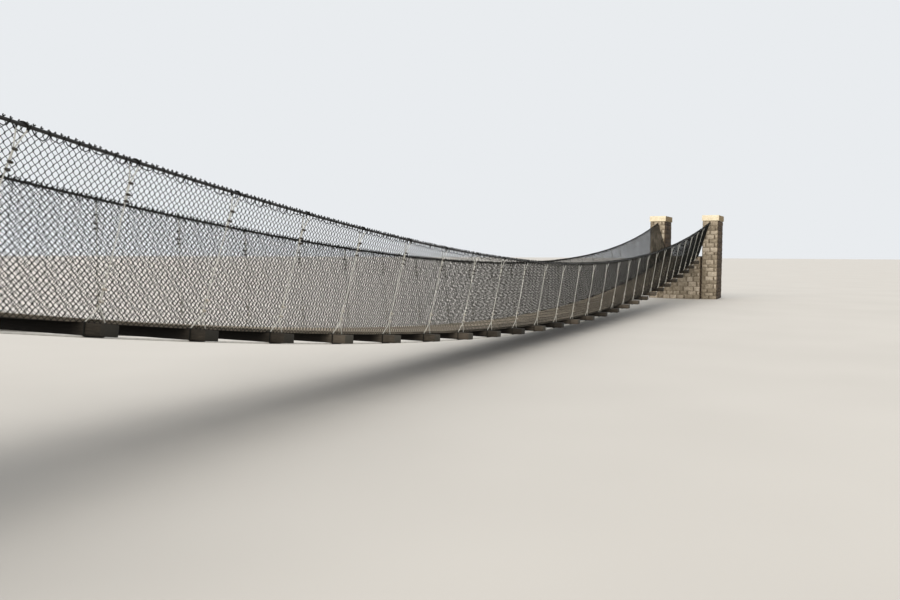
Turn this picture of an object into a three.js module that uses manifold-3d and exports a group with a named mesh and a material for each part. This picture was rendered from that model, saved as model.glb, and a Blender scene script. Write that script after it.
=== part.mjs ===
// Suspension footbridge: two sagging handrail cables carry timber crossbeams on wire hangers.
// Millimetres. X runs along the span, Y across it, +Z up. The origin is on the floor below mid-span.

import * as THREE from 'three';
import { mergeVertices } from 'three/addons/utils/BufferGeometryUtils.js';
import Module from 'manifold-3d';

const wasm = await Module();
wasm.setup();

// Span and curves. Each curve is a parabola, lowest at mid-span.
const BAY = 1219.2;
const BEAM_COUNT = 28;
const HALF_SPAN = 17700;
const DECK_LOW = 430;
const DECK_SAG = 1490;
const RAIL_LOW = 1760;
const RAIL_SAG = 1640;
const RAIL_HALF_WIDTH = 903;
const RAIL_SPREAD = 254;

// Timber
const BEAM_LENGTH = 1829;
const BEAM_WIDTH = 200;
const BEAM_HEIGHT = 110;
const DECK_WIDTH = 1320;
const BOARD_THICKNESS = 38;
// The deck has crept towards the left end with its crossbeams, so every hanger leans a little
const BEAM_CREEP = -85;

// Cables and hangers
const RAIL_RADIUS = 15;
const RAIL_SECTION_SIDES = 8;
const RAIL_STEPS = 40;
const FLOOR_CABLE_RADIUS = 10;
const FLOOR_CABLE_Y = 695;
const HANGER_FOOT_Y = 724;
const HANGER_RADIUS = 6;
const FORK_HEIGHT = 160;
const LEG_RADIUS = 5;

// Chain-link sides
const MESH_THICKNESS = 10;
const MESH_FOOT_Y = 675;
const MESH_ABOVE_RAIL = 35;
const MESH_END_CLEARANCE = 20;
const MESH_BAR = 60;
const MESH_OPENINGS = 12;
const MESH_TIERS = 3;

// Stonework
const PILLAR_WIDTH = 680;
const PILLAR_LENGTH = 1500;
const CAP_THICKNESS = 250;
const CAP_OVERHANG = 30;
const CAP_ABOVE_RAIL = 90;
const ABUTMENT_LIP = 250;
const ABUTMENT_JOINT = 5;

// Clearance between pieces that touch
const GAP = 0.3;

const SIDES = { front: -1, back: 1 };
const ENDS = { left: -1, right: 1 };

const stone = new THREE.MeshStandardMaterial({ color: 0xb8a88a, roughness: 0.95, metalness: 0 });
const capStone = new THREE.MeshStandardMaterial({ color: 0xd9c9a4, roughness: 0.9, metalness: 0 });
const timber = new THREE.MeshStandardMaterial({ color: 0x6e665b, roughness: 0.9, metalness: 0 });
const boards = new THREE.MeshStandardMaterial({ color: 0x7d7468, roughness: 0.9, metalness: 0 });
const coatedWire = new THREE.MeshStandardMaterial({ color: 0x1b1c1b, roughness: 0.55, metalness: 0.2 });
const galvanisedRope = new THREE.MeshStandardMaterial({ color: 0xa9a9a2, roughness: 0.5, metalness: 0.8 });

const deckHeight = (x) => DECK_LOW + DECK_SAG * (x / HALF_SPAN) ** 2;
const railHeight = (x) => RAIL_LOW + RAIL_SAG * (x / HALF_SPAN) ** 2;
const railY = (x) => RAIL_HALF_WIDTH + RAIL_SPREAD * (x / HALF_SPAN) ** 2;
const deckSlope = (x) => Math.atan((2 * DECK_SAG * x) / HALF_SPAN ** 2);
const beamX = (index) => (index - (BEAM_COUNT - 1) / 2) * BAY + BEAM_CREEP;

// A path straight from point to point, so that a swept cable passes exactly through each of them.
class StationPath extends THREE.Curve {
  constructor(points) {
    super();
    this.points = points;
  }

  getPoint(t, target = new THREE.Vector3()) {
    const last = this.points.length - 1;
    const place = Math.min(Math.max(t, 0), 1) * last;
    const start = Math.min(Math.floor(place), last - 1);
    return target.lerpVectors(this.points[start], this.points[start + 1], place - start);
  }

  getPointAt(t, target) {
    return this.getPoint(t, target);
  }

  getTangentAt(t, target = new THREE.Vector3()) {
    const step = 0.5 / (this.points.length - 1);
    return target.subVectors(this.getPoint(t + step), this.getPoint(t - step)).normalize();
  }

  getTangent(t, target) {
    return this.getTangentAt(t, target);
  }
}

// A regular outline whose flat sides lie at the given radius
function polygon(radius, sides) {
  const corners = [];
  const cornerRadius = radius / Math.cos(Math.PI / sides);
  for (let i = 0; i < sides; i += 1) {
    const angle = ((i + 0.5) / sides) * 2 * Math.PI;
    corners.push(new THREE.Vector2(cornerRadius * Math.cos(angle), cornerRadius * Math.sin(angle)));
  }
  return new THREE.Shape(corners);
}

function sweep(points, radius, sides) {
  return new THREE.ExtrudeGeometry(polygon(radius, sides), {
    steps: points.length - 1,
    extrudePath: new StationPath(points),
  });
}

// A straight bar between two points
function bar(from, to, radius, sides) {
  return sweep([from, to], radius, sides);
}

function toSolid(geometry) {
  const bare = geometry.clone();
  bare.deleteAttribute('normal');
  bare.deleteAttribute('uv');
  const merged = mergeVertices(bare, 1e-3);
  return new wasm.Manifold(new wasm.Mesh({
    numProp: 3,
    vertProperties: new Float32Array(merged.attributes.position.array),
    triVerts: new Uint32Array(merged.index.array),
  }));
}

function fromSolid(solid) {
  const mesh = solid.getMesh();
  const geometry = new THREE.BufferGeometry();
  geometry.setAttribute('position', new THREE.BufferAttribute(new Float32Array(mesh.vertProperties), 3));
  geometry.setIndex(new THREE.BufferAttribute(new Uint32Array(mesh.triVerts), 1));
  geometry.computeVertexNormals();
  return geometry;
}

// Joins the geometries, then cuts both ends square at the given distance from mid-span
function joinAndTrim(geometries, halfLength) {
  const solid = geometries.map(toSolid).reduce((whole, piece) => whole.add(piece));
  const keep = new THREE.BoxGeometry(2 * halfLength, 4 * HALF_SPAN, 4 * HALF_SPAN);
  return fromSolid(solid.intersect(toSolid(keep)));
}

// A box whose corners are moved by place(along, across, up), each from -0.5 to 0.5
function shapedBox(segments, place) {
  const geometry = new THREE.BoxGeometry(1, 1, 1, segments, 1, 1);
  const position = geometry.attributes.position;
  for (let i = 0; i < position.count; i += 1) {
    const moved = place(position.getX(i), position.getY(i), position.getZ(i));
    position.setXYZ(i, moved.x, moved.y, moved.z);
  }
  geometry.computeVertexNormals();
  return geometry;
}

function piece(name, geometry, material) {
  const mesh = new THREE.Mesh(geometry, material);
  mesh.name = name;
  return mesh;
}

// Where the hanger of a beam meets the cable, straight up from the beam's first place on the sloping deck
function hangerTopX(beam) {
  const x = beam - BEAM_CREEP;
  let top = x;
  for (let i = 0; i < 6; i += 1) {
    const height = (railHeight(top) - deckHeight(x)) / Math.cos(deckSlope(x));
    top = x - height * Math.sin(deckSlope(x));
  }
  return top;
}

// A point beside a beam: along and up are measured square to the sloping deck
function besideBeam(x, along, y, up) {
  const slope = deckSlope(x);
  return new THREE.Vector3(
    x + along * Math.cos(slope) - up * Math.sin(slope),
    y,
    deckHeight(x) + along * Math.sin(slope) + up * Math.cos(slope),
  );
}

function railPoint(x, side) {
  return new THREE.Vector3(x, side * railY(x), railHeight(x));
}

function hangerPieces(x, side) {
  const foot = side * HANGER_FOOT_Y;
  const top = railPoint(hangerTopX(x), side);
  const beamTop = besideBeam(x, 0, foot, 0);
  const fork = beamTop.clone().lerp(top, FORK_HEIGHT / beamTop.distanceTo(top));
  const standOff = LEG_RADIUS * Math.SQRT2 + GAP;
  const reach = BEAM_WIDTH / 2 + standOff;
  const under = -BEAM_HEIGHT - standOff;
  const bridle = [
    fork,
    besideBeam(x, reach, foot, LEG_RADIUS),
    besideBeam(x, reach, foot, under),
    besideBeam(x, -reach, foot, under),
    besideBeam(x, -reach, foot, LEG_RADIUS),
    fork,
  ];
  return [bar(fork, top, HANGER_RADIUS, 4), sweep(bridle, LEG_RADIUS, 4)];
}

function suspensionCable(side) {
  const points = [];
  const reach = HALF_SPAN + RAIL_RADIUS;
  for (let i = 0; i <= RAIL_STEPS; i += 1) {
    points.push(railPoint(-reach + (2 * reach * i) / RAIL_STEPS, side));
  }
  const solids = [sweep(points, RAIL_RADIUS, RAIL_SECTION_SIDES)];
  for (let i = 0; i < BEAM_COUNT; i += 1) {
    solids.push(...hangerPieces(beamX(i), side));
  }
  return joinAndTrim(solids, HALF_SPAN - GAP);
}

// The floor cable lies flat under each crossbeam and runs straight from one to the next
function floorCable(side) {
  const below = -BEAM_HEIGHT - FLOOR_CABLE_RADIUS - GAP;
  const abutmentFace = HALF_SPAN - ABUTMENT_LIP;
  const endX = abutmentFace + FLOOR_CABLE_RADIUS;
  const drop = BEAM_HEIGHT + FLOOR_CABLE_RADIUS;
  const end = (way) => new THREE.Vector3(way * endX, side * FLOOR_CABLE_Y, deckHeight(endX) - drop);
  const points = [end(-1)];
  for (let i = 0; i < BEAM_COUNT; i += 1) {
    for (const along of [-BEAM_WIDTH / 2, BEAM_WIDTH / 2]) {
      points.push(besideBeam(beamX(i), along, side * FLOOR_CABLE_Y, below));
    }
  }
  points.push(end(1));
  return joinAndTrim([sweep(points, FLOOR_CABLE_RADIUS, 8)], abutmentFace - GAP);
}

// The share of the way from mid-span to the given end, for a place along a shaped box
const outward = (along, end) => end * along + 0.5;

// The deck follows its curve to the abutment, then lies flat on top of it
function deckHalf(end) {
  const spanSegments = 28;
  const segments = spanSegments + 1;
  const kink = HALF_SPAN - ABUTMENT_LIP;
  return shapedBox(segments, (along, across, up) => {
    const step = Math.round(outward(along, end) * segments);
    const onSpan = GAP / 2 + (kink - GAP / 2) * (step / spanSegments);
    const distance = step > spanSegments ? HALF_SPAN + PILLAR_LENGTH : onSpan;
    const height = deckHeight(Math.min(distance, kink)) + GAP + BOARD_THICKNESS * (up + 0.5);
    return new THREE.Vector3(end * distance, across * DECK_WIDTH, height);
  });
}

// How far the middle of a chain-link side stays inside the middle of its cable
function meshInset(x) {
  const rise = railHeight(x) - deckHeight(x);
  const lean = (railY(x) - MESH_FOOT_Y) / rise;
  const cornerShare = Math.tan(Math.PI / RAIL_SECTION_SIDES);
  return RAIL_RADIUS * (1 + cornerShare * lean) + GAP + MESH_THICKNESS / 2;
}

// Where the bars of a grid start and end along a length, with each opening taken in the given steps
function gridLines(length, openings, steps) {
  const opening = (length - (openings + 1) * MESH_BAR) / openings;
  const lines = [0];
  for (let i = 0; i <= openings; i += 1) {
    lines.push(lines.at(-1) + MESH_BAR);
    for (let step = 0; i < openings && step < steps; step += 1) {
      lines.push(lines.at(-1) + opening / steps);
    }
  }
  return lines;
}

// A sheet of cells, open where isOpen(column, tier) says so. place(column, tier, across) gives a cell's
// lowest corner, with across -0.5 on one face of the sheet and 0.5 on the other.
function gridSheet(columns, tiers, isOpen, place) {
  const points = [];
  for (let column = 0; column <= columns; column += 1) {
    for (let tier = 0; tier <= tiers; tier += 1) {
      points.push(place(column, tier, -0.5), place(column, tier, 0.5));
    }
  }
  const near = (column, tier) => (column * (tiers + 1) + tier) * 2;
  const far = (column, tier) => near(column, tier) + 1;
  const inside = (column, tier) => column >= 0 && column < columns && tier >= 0 && tier < tiers;
  const isSolid = (column, tier) => inside(column, tier) && !isOpen(column, tier);
  const index = [];
  const quad = (a, b, c, d) => index.push(a, b, c, a, c, d);
  for (let i = 0; i < columns; i += 1) {
    for (let j = 0; j < tiers; j += 1) {
      if (!isSolid(i, j)) continue;
      quad(near(i, j), near(i + 1, j), near(i + 1, j + 1), near(i, j + 1));
      quad(far(i, j), far(i, j + 1), far(i + 1, j + 1), far(i + 1, j));
      if (!isSolid(i - 1, j)) quad(near(i, j), near(i, j + 1), far(i, j + 1), far(i, j));
      if (!isSolid(i + 1, j)) quad(near(i + 1, j), far(i + 1, j), far(i + 1, j + 1), near(i + 1, j + 1));
      if (!isSolid(i, j - 1)) quad(near(i, j), far(i, j), far(i + 1, j), near(i + 1, j));
      if (!isSolid(i, j + 1)) quad(near(i, j + 1), near(i + 1, j + 1), far(i + 1, j + 1), far(i, j + 1));
    }
  }
  const geometry = new THREE.BufferGeometry().setFromPoints(points);
  geometry.setIndex(index);
  geometry.computeVertexNormals();
  return geometry;
}

// Half of a chain-link side. A plain grid of openings stands for its diamonds, which are far smaller.
function meshSide(side, end) {
  const reach = HALF_SPAN - MESH_END_CLEARANCE - GAP;
  const start = end > 0 ? GAP / 2 : -GAP / 2 - reach;
  const stepsPerOpening = 2;
  const lines = gridLines(reach, MESH_OPENINGS, stepsPerOpening);
  const isOpen = (column, tier) => column % (stepsPerOpening + 1) > 0 && tier % 2 > 0;
  return gridSheet(lines.length - 1, 2 * MESH_TIERS + 1, isOpen, (column, tier, across) => {
    const x = start + lines[column];
    const foot = deckHeight(x) + GAP;
    const rise = gridLines(railHeight(x) + MESH_ABOVE_RAIL - foot, MESH_TIERS, 1)[tier];
    const share = rise / (railHeight(x) - foot);
    const middleY = MESH_FOOT_Y + (railY(x) - meshInset(x) - MESH_FOOT_Y) * share;
    return new THREE.Vector3(x, side * middleY + across * MESH_THICKNESS, foot + rise);
  });
}

function box(length, width, bottom, top) {
  const geometry = new THREE.BoxGeometry(length, width, top - bottom);
  geometry.translate(0, 0, (top + bottom) / 2);
  return geometry;
}

const bridge = new THREE.Group();

const crossbeams = new THREE.Group();
for (let i = 0; i < BEAM_COUNT; i += 1) {
  const number = String(i + 1).padStart(2, '0');
  const geometry = new THREE.BoxGeometry(BEAM_WIDTH, BEAM_LENGTH, BEAM_HEIGHT);
  geometry.translate(0, 0, -BEAM_HEIGHT / 2);
  const beam = piece(`crossbeam_${number}`, geometry, timber);
  beam.position.set(beamX(i), 0, deckHeight(beamX(i)));
  beam.rotation.y = -deckSlope(beamX(i));
  crossbeams.add(beam);
}
bridge.add(crossbeams);

const PILLAR_X = HALF_SPAN + PILLAR_LENGTH / 2;
const PILLAR_Y = railY(HALF_SPAN);
const PILLAR_TOP = railHeight(HALF_SPAN) + CAP_ABOVE_RAIL;
const ABUTMENT_TOP = deckHeight(HALF_SPAN - ABUTMENT_LIP);
const ABUTMENT_WIDTH = 2 * (PILLAR_Y - PILLAR_WIDTH / 2 - ABUTMENT_JOINT);

for (const [endName, end] of Object.entries(ENDS)) {
  const masonry = new THREE.Group();
  masonry.position.x = end * PILLAR_X;
  for (const [sideName, side] of Object.entries(SIDES)) {
    const shaft = piece(
      `pillar_${endName}_${sideName}`,
      box(PILLAR_LENGTH, PILLAR_WIDTH, 0, PILLAR_TOP),
      stone,
    );
    shaft.position.y = side * PILLAR_Y;
    const cap = piece(
      `cap_${endName}_${sideName}`,
      box(
        PILLAR_LENGTH + 2 * CAP_OVERHANG,
        PILLAR_WIDTH + 2 * CAP_OVERHANG,
        PILLAR_TOP + GAP,
        PILLAR_TOP + CAP_THICKNESS,
      ),
      capStone,
    );
    cap.position.y = side * PILLAR_Y;
    masonry.add(shaft, cap);
  }
  const abutment = piece(
    `abutment_${endName}`,
    box(PILLAR_LENGTH + ABUTMENT_LIP, ABUTMENT_WIDTH, 0, ABUTMENT_TOP),
    stone,
  );
  abutment.position.x = (-end * ABUTMENT_LIP) / 2;
  masonry.add(abutment);
  bridge.add(masonry);

  bridge.add(piece(`deck_${endName}`, deckHalf(end), boards));
  for (const [sideName, side] of Object.entries(SIDES)) {
    bridge.add(piece(`mesh_${sideName}_${endName}`, meshSide(side, end), coatedWire));
  }
}

for (const [sideName, side] of Object.entries(SIDES)) {
  bridge.add(piece(`suspension_cable_${sideName}`, suspensionCable(side), galvanisedRope));
  bridge.add(piece(`floor_cable_${sideName}`, floorCable(side), galvanisedRope));
}

export default bridge;
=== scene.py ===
# %% [markdown]
# Suspension footbridge
# A light footbridge hangs between four stone pillars. Two black steel cables are its handrails. Thin wire
# ropes hang from them and carry timber crossbeams, and chain-link fabric closes both sides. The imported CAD
# part is loaded first, as a fixed frame: it says where everything is, in metres. X runs along the span from
# end to end, the deck hangs lowest at X 0, and -Y is the side that the camera sees.

import math
import random

import bmesh
import bpy
from mathutils import Euler, Matrix, Vector


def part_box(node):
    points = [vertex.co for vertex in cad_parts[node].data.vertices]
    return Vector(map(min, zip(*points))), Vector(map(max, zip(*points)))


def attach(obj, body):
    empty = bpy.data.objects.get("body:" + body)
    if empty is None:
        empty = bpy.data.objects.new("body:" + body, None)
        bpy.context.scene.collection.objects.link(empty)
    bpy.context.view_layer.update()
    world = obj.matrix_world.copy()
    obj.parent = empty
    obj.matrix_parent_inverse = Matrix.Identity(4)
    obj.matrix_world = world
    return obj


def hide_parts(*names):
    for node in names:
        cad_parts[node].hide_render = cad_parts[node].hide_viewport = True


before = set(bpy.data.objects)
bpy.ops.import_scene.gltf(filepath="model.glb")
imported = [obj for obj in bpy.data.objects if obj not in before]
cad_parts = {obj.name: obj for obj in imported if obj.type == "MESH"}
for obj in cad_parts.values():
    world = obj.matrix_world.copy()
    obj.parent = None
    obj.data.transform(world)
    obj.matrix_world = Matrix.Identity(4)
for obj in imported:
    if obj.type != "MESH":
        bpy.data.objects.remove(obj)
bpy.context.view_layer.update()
collection = bpy.context.scene.collection
print("CAD nodes:", len(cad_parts))

# %% [markdown]
# Every long piece of a suspension bridge follows a sag curve, close to a parabola. Three of them fix this
# bridge: the deck, the handrail cable, and how far the cable stands out from the middle line. Each is a
# value at mid-span and how much it gains on the way to a pillar. Short Python functions give them to the
# paths, and the chain-link tree further on gets the same numbers. The crossbeams stand a bay apart, but the
# deck has crept a little towards the near end with all of them, so every hanger leans.

# %% The bridge's curves
HALF_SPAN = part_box("pillar_right_front")[0].x
ABUTMENT_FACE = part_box("abutment_right")[0].x
BEAM_NAMES = sorted(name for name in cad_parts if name.startswith("crossbeam_"))
BEAM_COUNT = len(BEAM_NAMES)
BEAM_CREEP = round(sum(corner.x for name in BEAM_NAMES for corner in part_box(name)) / (2 * BEAM_COUNT), 3)
BAY = 1.2192
DECK_LOW, DECK_RISE = 0.430, 1.490
RAIL_LOW, RAIL_RISE = 1.760, 1.640
RAIL_OUT, RAIL_SPREAD = 0.903, 0.254
RAIL_RADIUS = 0.015
SIDES = {"front": -1, "back": 1}
ENDS = {"left": -1, "right": 1}


def sag(x, low, rise):
    return low + rise * (x / HALF_SPAN) ** 2


def deck_height(x):
    return sag(x, DECK_LOW, DECK_RISE)


def deck_slope(x):
    return math.atan(2 * DECK_RISE * x / HALF_SPAN**2)


def rail_point(x, side):
    return Vector((x, side * sag(x, RAIL_OUT, RAIL_SPREAD), sag(x, RAIL_LOW, RAIL_RISE)))


def beam_x(index):
    return (index - (BEAM_COUNT - 1) / 2) * BAY + BEAM_CREEP


def beside_beam(x, along, y, up):
    """A point near a crossbeam, with along and up measured square to the sloping deck."""
    slope = deck_slope(x)
    return Vector((x + along * math.cos(slope) - up * math.sin(slope), y,
                   deck_height(x) + along * math.sin(slope) + up * math.cos(slope)))


print("half span", round(HALF_SPAN, 3), "crossbeams", BEAM_COUNT, "crept by", BEAM_CREEP)

# %% [markdown]
# Two helpers serve the whole lesson. The first turns a colour from a paint chart (sRGB hex) into the linear
# values that a renderer adds up. The second adds a node to any tree: an input that is given as a node or
# socket is linked, and anything else is set. The kinds of node that come up most have short names, and a
# maths node is asked for by its operation. A mix node has its factor at input 0, its two colours at 6 and 7
# and the blend at output 2, because the same node can also mix numbers and vectors.

# %% Colour and node helpers
VECTORS = "ShaderNodeVectorMath"
SPLIT_XYZ = "ShaderNodeSeparateXYZ"
JOIN_XYZ = "ShaderNodeCombineXYZ"
ATTRIBUTE = "ShaderNodeAttribute"
NOISE = "ShaderNodeTexNoise"
MAP_RANGE = "ShaderNodeMapRange"
RAMP = "ShaderNodeValToRGB"
MIX = "ShaderNodeMix"
MIXED = {"data_type": "RGBA"}
MULTIPLIED = {"data_type": "RGBA", "blend_type": "MULTIPLY"}


def linear(hex_colour):
    parts = [int(hex_colour[i : i + 2], 16) / 255 for i in (1, 3, 5)]
    return (*[c / 12.92 if c <= 0.04045 else ((c + 0.055) / 1.055) ** 2.4 for c in parts], 1.0)


def add(tree, kind, inputs=(), stops=(), **settings):
    """Adds a node. A kind in capitals is the operation of a maths node. Inputs come in order, or by name
    or number, and stops are the places and hex colours of a ramp."""
    if kind.isupper():
        kind, settings["operation"] = "ShaderNodeMath", kind
    new = tree.nodes.new(kind)
    for name, value in settings.items():
        setattr(new, name, value)
    for key, value in inputs.items() if isinstance(inputs, dict) else enumerate(inputs):
        if isinstance(value, bpy.types.Node):
            value = value.outputs[0]
        if isinstance(value, bpy.types.NodeSocket):
            tree.links.new(value, new.inputs[key])
        else:
            new.inputs[key].default_value = value
    for _ in stops[2:]:
        new.color_ramp.elements.new(0.5)
    for n, (place, colour) in enumerate(stops):
        new.color_ramp.elements[n].position = place
        new.color_ramp.elements[n].color = linear(colour)
    return new


print("sRGB #808080 in linear:", round(linear("#808080")[0], 3))

# %% [markdown]
# Weather leaves the same kinds of mark on every finish here: blotches of some real size. This cell makes
# them from Object coordinates, which stay put because each piece keeps its place in its mesh. A size is
# given in millimetres, and a stretch above 1 draws the blotches out along an axis, as grain is. Some
# finishes also ask which way a face is turned. Each one ends in a shader, with its relief as a bump.

# %% Pattern helpers
MM_PER_METRE = 1000
BLACK, WHITE = "#000000", "#ffffff"


def new_material(name):
    material = bpy.data.materials.new(name)
    material.use_nodes = True
    material.node_tree.nodes.clear()
    return material, material.node_tree


def blotches(tree, size_mm, detail=3.0, stretch=(1, 1, 1), place=None):
    place = place or add(tree, "ShaderNodeTexCoord").outputs["Object"]
    scale = [MM_PER_METRE / (size_mm * s) for s in stretch]
    mapping = add(tree, "ShaderNodeMapping", {"Vector": place, "Scale": scale})
    return add(tree, NOISE, {"Vector": mapping, "Scale": 1.0, "Detail": detail})


def face_direction(tree):
    """The X, Y and Z of the direction that a face is turned to."""
    return add(tree, SPLIT_XYZ, (add(tree, "ShaderNodeNewGeometry").outputs["Normal"],)).outputs


def surface(material, colour, roughness, height, depth_mm, metallic=0.0, specular=0.5):
    """Ends a material: the shader, its bump and the output. Depth is how deep the relief goes."""
    tree = material.node_tree
    bump = add(tree, "ShaderNodeBump", {"Distance": depth_mm / MM_PER_METRE, "Height": height})
    shader = add(tree, "ShaderNodeBsdfPrincipled", {
        "Base Color": colour, "Roughness": roughness, "Metallic": metallic,
        "Specular IOR Level": specular, "Normal": bump})
    add(tree, "ShaderNodeOutputMaterial", {"Surface": shader})
    return material


print("pattern helpers ready")

# %% [markdown]
# Wire rope: six steel strands laid in a helix. The handrail rope is soaked in bitumen, so it is dull black
# with a slow spiral of light. The hangers and the floor cables are galvanised, so they are pale grey with
# darker grooves. Modelled strands would take a hundred thousand faces a cable, so the relief is a bump. It
# follows two attributes of the swept tube: how far along it a point is, and where it lies around it.

# %% Material: wire rope
LAY_PER_DIAMETER = 6.5
STRANDS = 6
STRAND_RELIEF = 0.1
DIRT_MM = 70
DIRT_ROUGHENS = 0.12


def wire_rope(name, diameter_mm, groove, crown, roughness, metallic):
    material, tree = new_material(name)
    along = add(tree, ATTRIBUTE, attribute_name="along").outputs["Fac"]
    around = add(tree, ATTRIBUTE, attribute_name="around").outputs["Vector"]
    place = add(tree, SPLIT_XYZ, (around,)).outputs
    angle = add(tree, "ARCTAN2", (place["Y"], place["X"]))
    lay_mm = LAY_PER_DIAMETER * diameter_mm
    turn = add(tree, "MULTIPLY", (along, 2 * MM_PER_METRE * math.pi * STRANDS / lay_mm))
    wave = add(tree, "MULTIPLY_ADD", (angle, STRANDS, turn))
    wave = add(tree, "SINE", (wave,))
    lay = add(tree, "MULTIPLY_ADD", (wave, 0.5, 0.5))
    dirt = blotches(tree, DIRT_MM)
    shade = add(tree, "MULTIPLY", (dirt, 0.45))
    shade = add(tree, "MULTIPLY_ADD", (lay, 0.55, shade))
    # The ramp paints the strand crowns lighter and the grooves darker: a painted highlight and painted shade
    # along the lay. The dirt blotches mixed in are real dirt.
    colour = add(tree, RAMP, (shade,), ((0.15, groove), (0.75, crown)))
    rough = add(tree, MAP_RANGE, {
        "Value": dirt, "To Min": roughness - DIRT_ROUGHENS, "To Max": roughness + DIRT_ROUGHENS})
    return surface(material, colour, rough, lay, diameter_mm * STRAND_RELIEF, metallic)


bitumen_rope = wire_rope("bituminised_wire_rope", 30, "#080808", "#1d1c1b", 0.55, 0.0)
galvanised_hanger_rope = wire_rope("galvanised_hanger_rope", 11, "#85857f", "#dcdcd6", 0.5, 0.15)
galvanised_floor_rope = wire_rope("galvanised_floor_rope", 20, "#9b9993", "#e2e0da", 0.5, 0.15)
print("made", bitumen_rope.name, galvanised_hanger_rope.name, galvanised_floor_rope.name)

# %% [markdown]
# Chain-link wire is steel coated with black vinyl, which is smooth and slightly glossy when new and chalks
# to a dull grey-green bloom. The rope clips are cast and galvanised. Those near the cable are a dark grey
# with rust spots, and those at the hangers' feet are bright grey.

# %% Materials: coated wire and cast clips
BLOOM_MM, VINYL_GRAIN_MM, VINYL_RELIEF_MM = 140, 3, 0.2
RUST_MM, RUST_RELIEF_MM = 18, 0.5


def chalked_vinyl(name, clean, chalked):
    material, tree = new_material(name)
    bloom = blotches(tree, BLOOM_MM)
    colour = add(tree, RAMP, (bloom,), ((0.35, clean), (0.75, chalked)))
    rough = add(tree, MAP_RANGE, {"Value": bloom, "To Min": 0.45, "To Max": 0.7})
    grain = blotches(tree, VINYL_GRAIN_MM, detail=1.0)
    return surface(material, colour, rough, grain, VINYL_RELIEF_MM, specular=0.15)


def dulled_casting(name, metal, rust):
    material, tree = new_material(name)
    spots = blotches(tree, RUST_MM, detail=4.0)
    colour = add(tree, RAMP, (spots,), ((0.4, metal), (0.62, rust)))
    rough = add(tree, MAP_RANGE, {"Value": spots, "To Min": 0.45, "To Max": 0.8})
    return surface(material, colour, rough, spots, RUST_RELIEF_MM, metallic=0.4)


vinyl_wire = chalked_vinyl("black_vinyl_coated_wire", "#070707", "#181a17")
dark_clip = dulled_casting("stained_cast_clip", "#494743", "#2f241b")
bright_clip = dulled_casting("galvanised_cast_clip", "#bdbbb4", "#8f8372")
zinc_screw = dulled_casting("zinc_plated_screw", "#8d8b84", "#5b4632")
print("made", vinyl_wire.name, dark_clip.name, bright_clip.name, zinc_screw.name)

# %% [markdown]
# Weathered pine: sun and rain turn it silver-grey and it splits along its grain. The stretch of a beam that
# the deck covers and the undersides of the boards are darkened to nearly black with painted shade, and the
# boards' edges a little. The grain is noise drawn out fourteen times along the piece, and checks are thin
# dark lines of about half a metre. Cut ends show growth rings. Real ones are finer, but these are about 7 mm
# apart so that they show: the wave texture makes a ring every 2 pi / 20 of its scale. Every board and beam
# has a tint of its own, which also shifts its pattern, so that no two repeat.

# %% Material: weathered pine
GRAIN_MM, GRAIN_LENGTH = 9, 14
CHECK_MM, CHECK_LENGTH = 11, 45
STAIN_MM, STAIN_LENGTH = 160, 2
PINE_RELIEF_MM = 3.0
TINT_SHIFT = 9.0
PITH_SHIFT = (0.012, 0.012, 0.012)
RING_MM = 6.98
RING_SCALE = 2 * math.pi / 20 * MM_PER_METRE / RING_MM
# Painted shade: the near-black that beams under the deck and the undersides of boards are mixed towards.
PAINTED_SHADE_PINE = "#14110e"
DECK_COVERS, DECK_CLEARS = 0.52, 0.70


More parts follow.
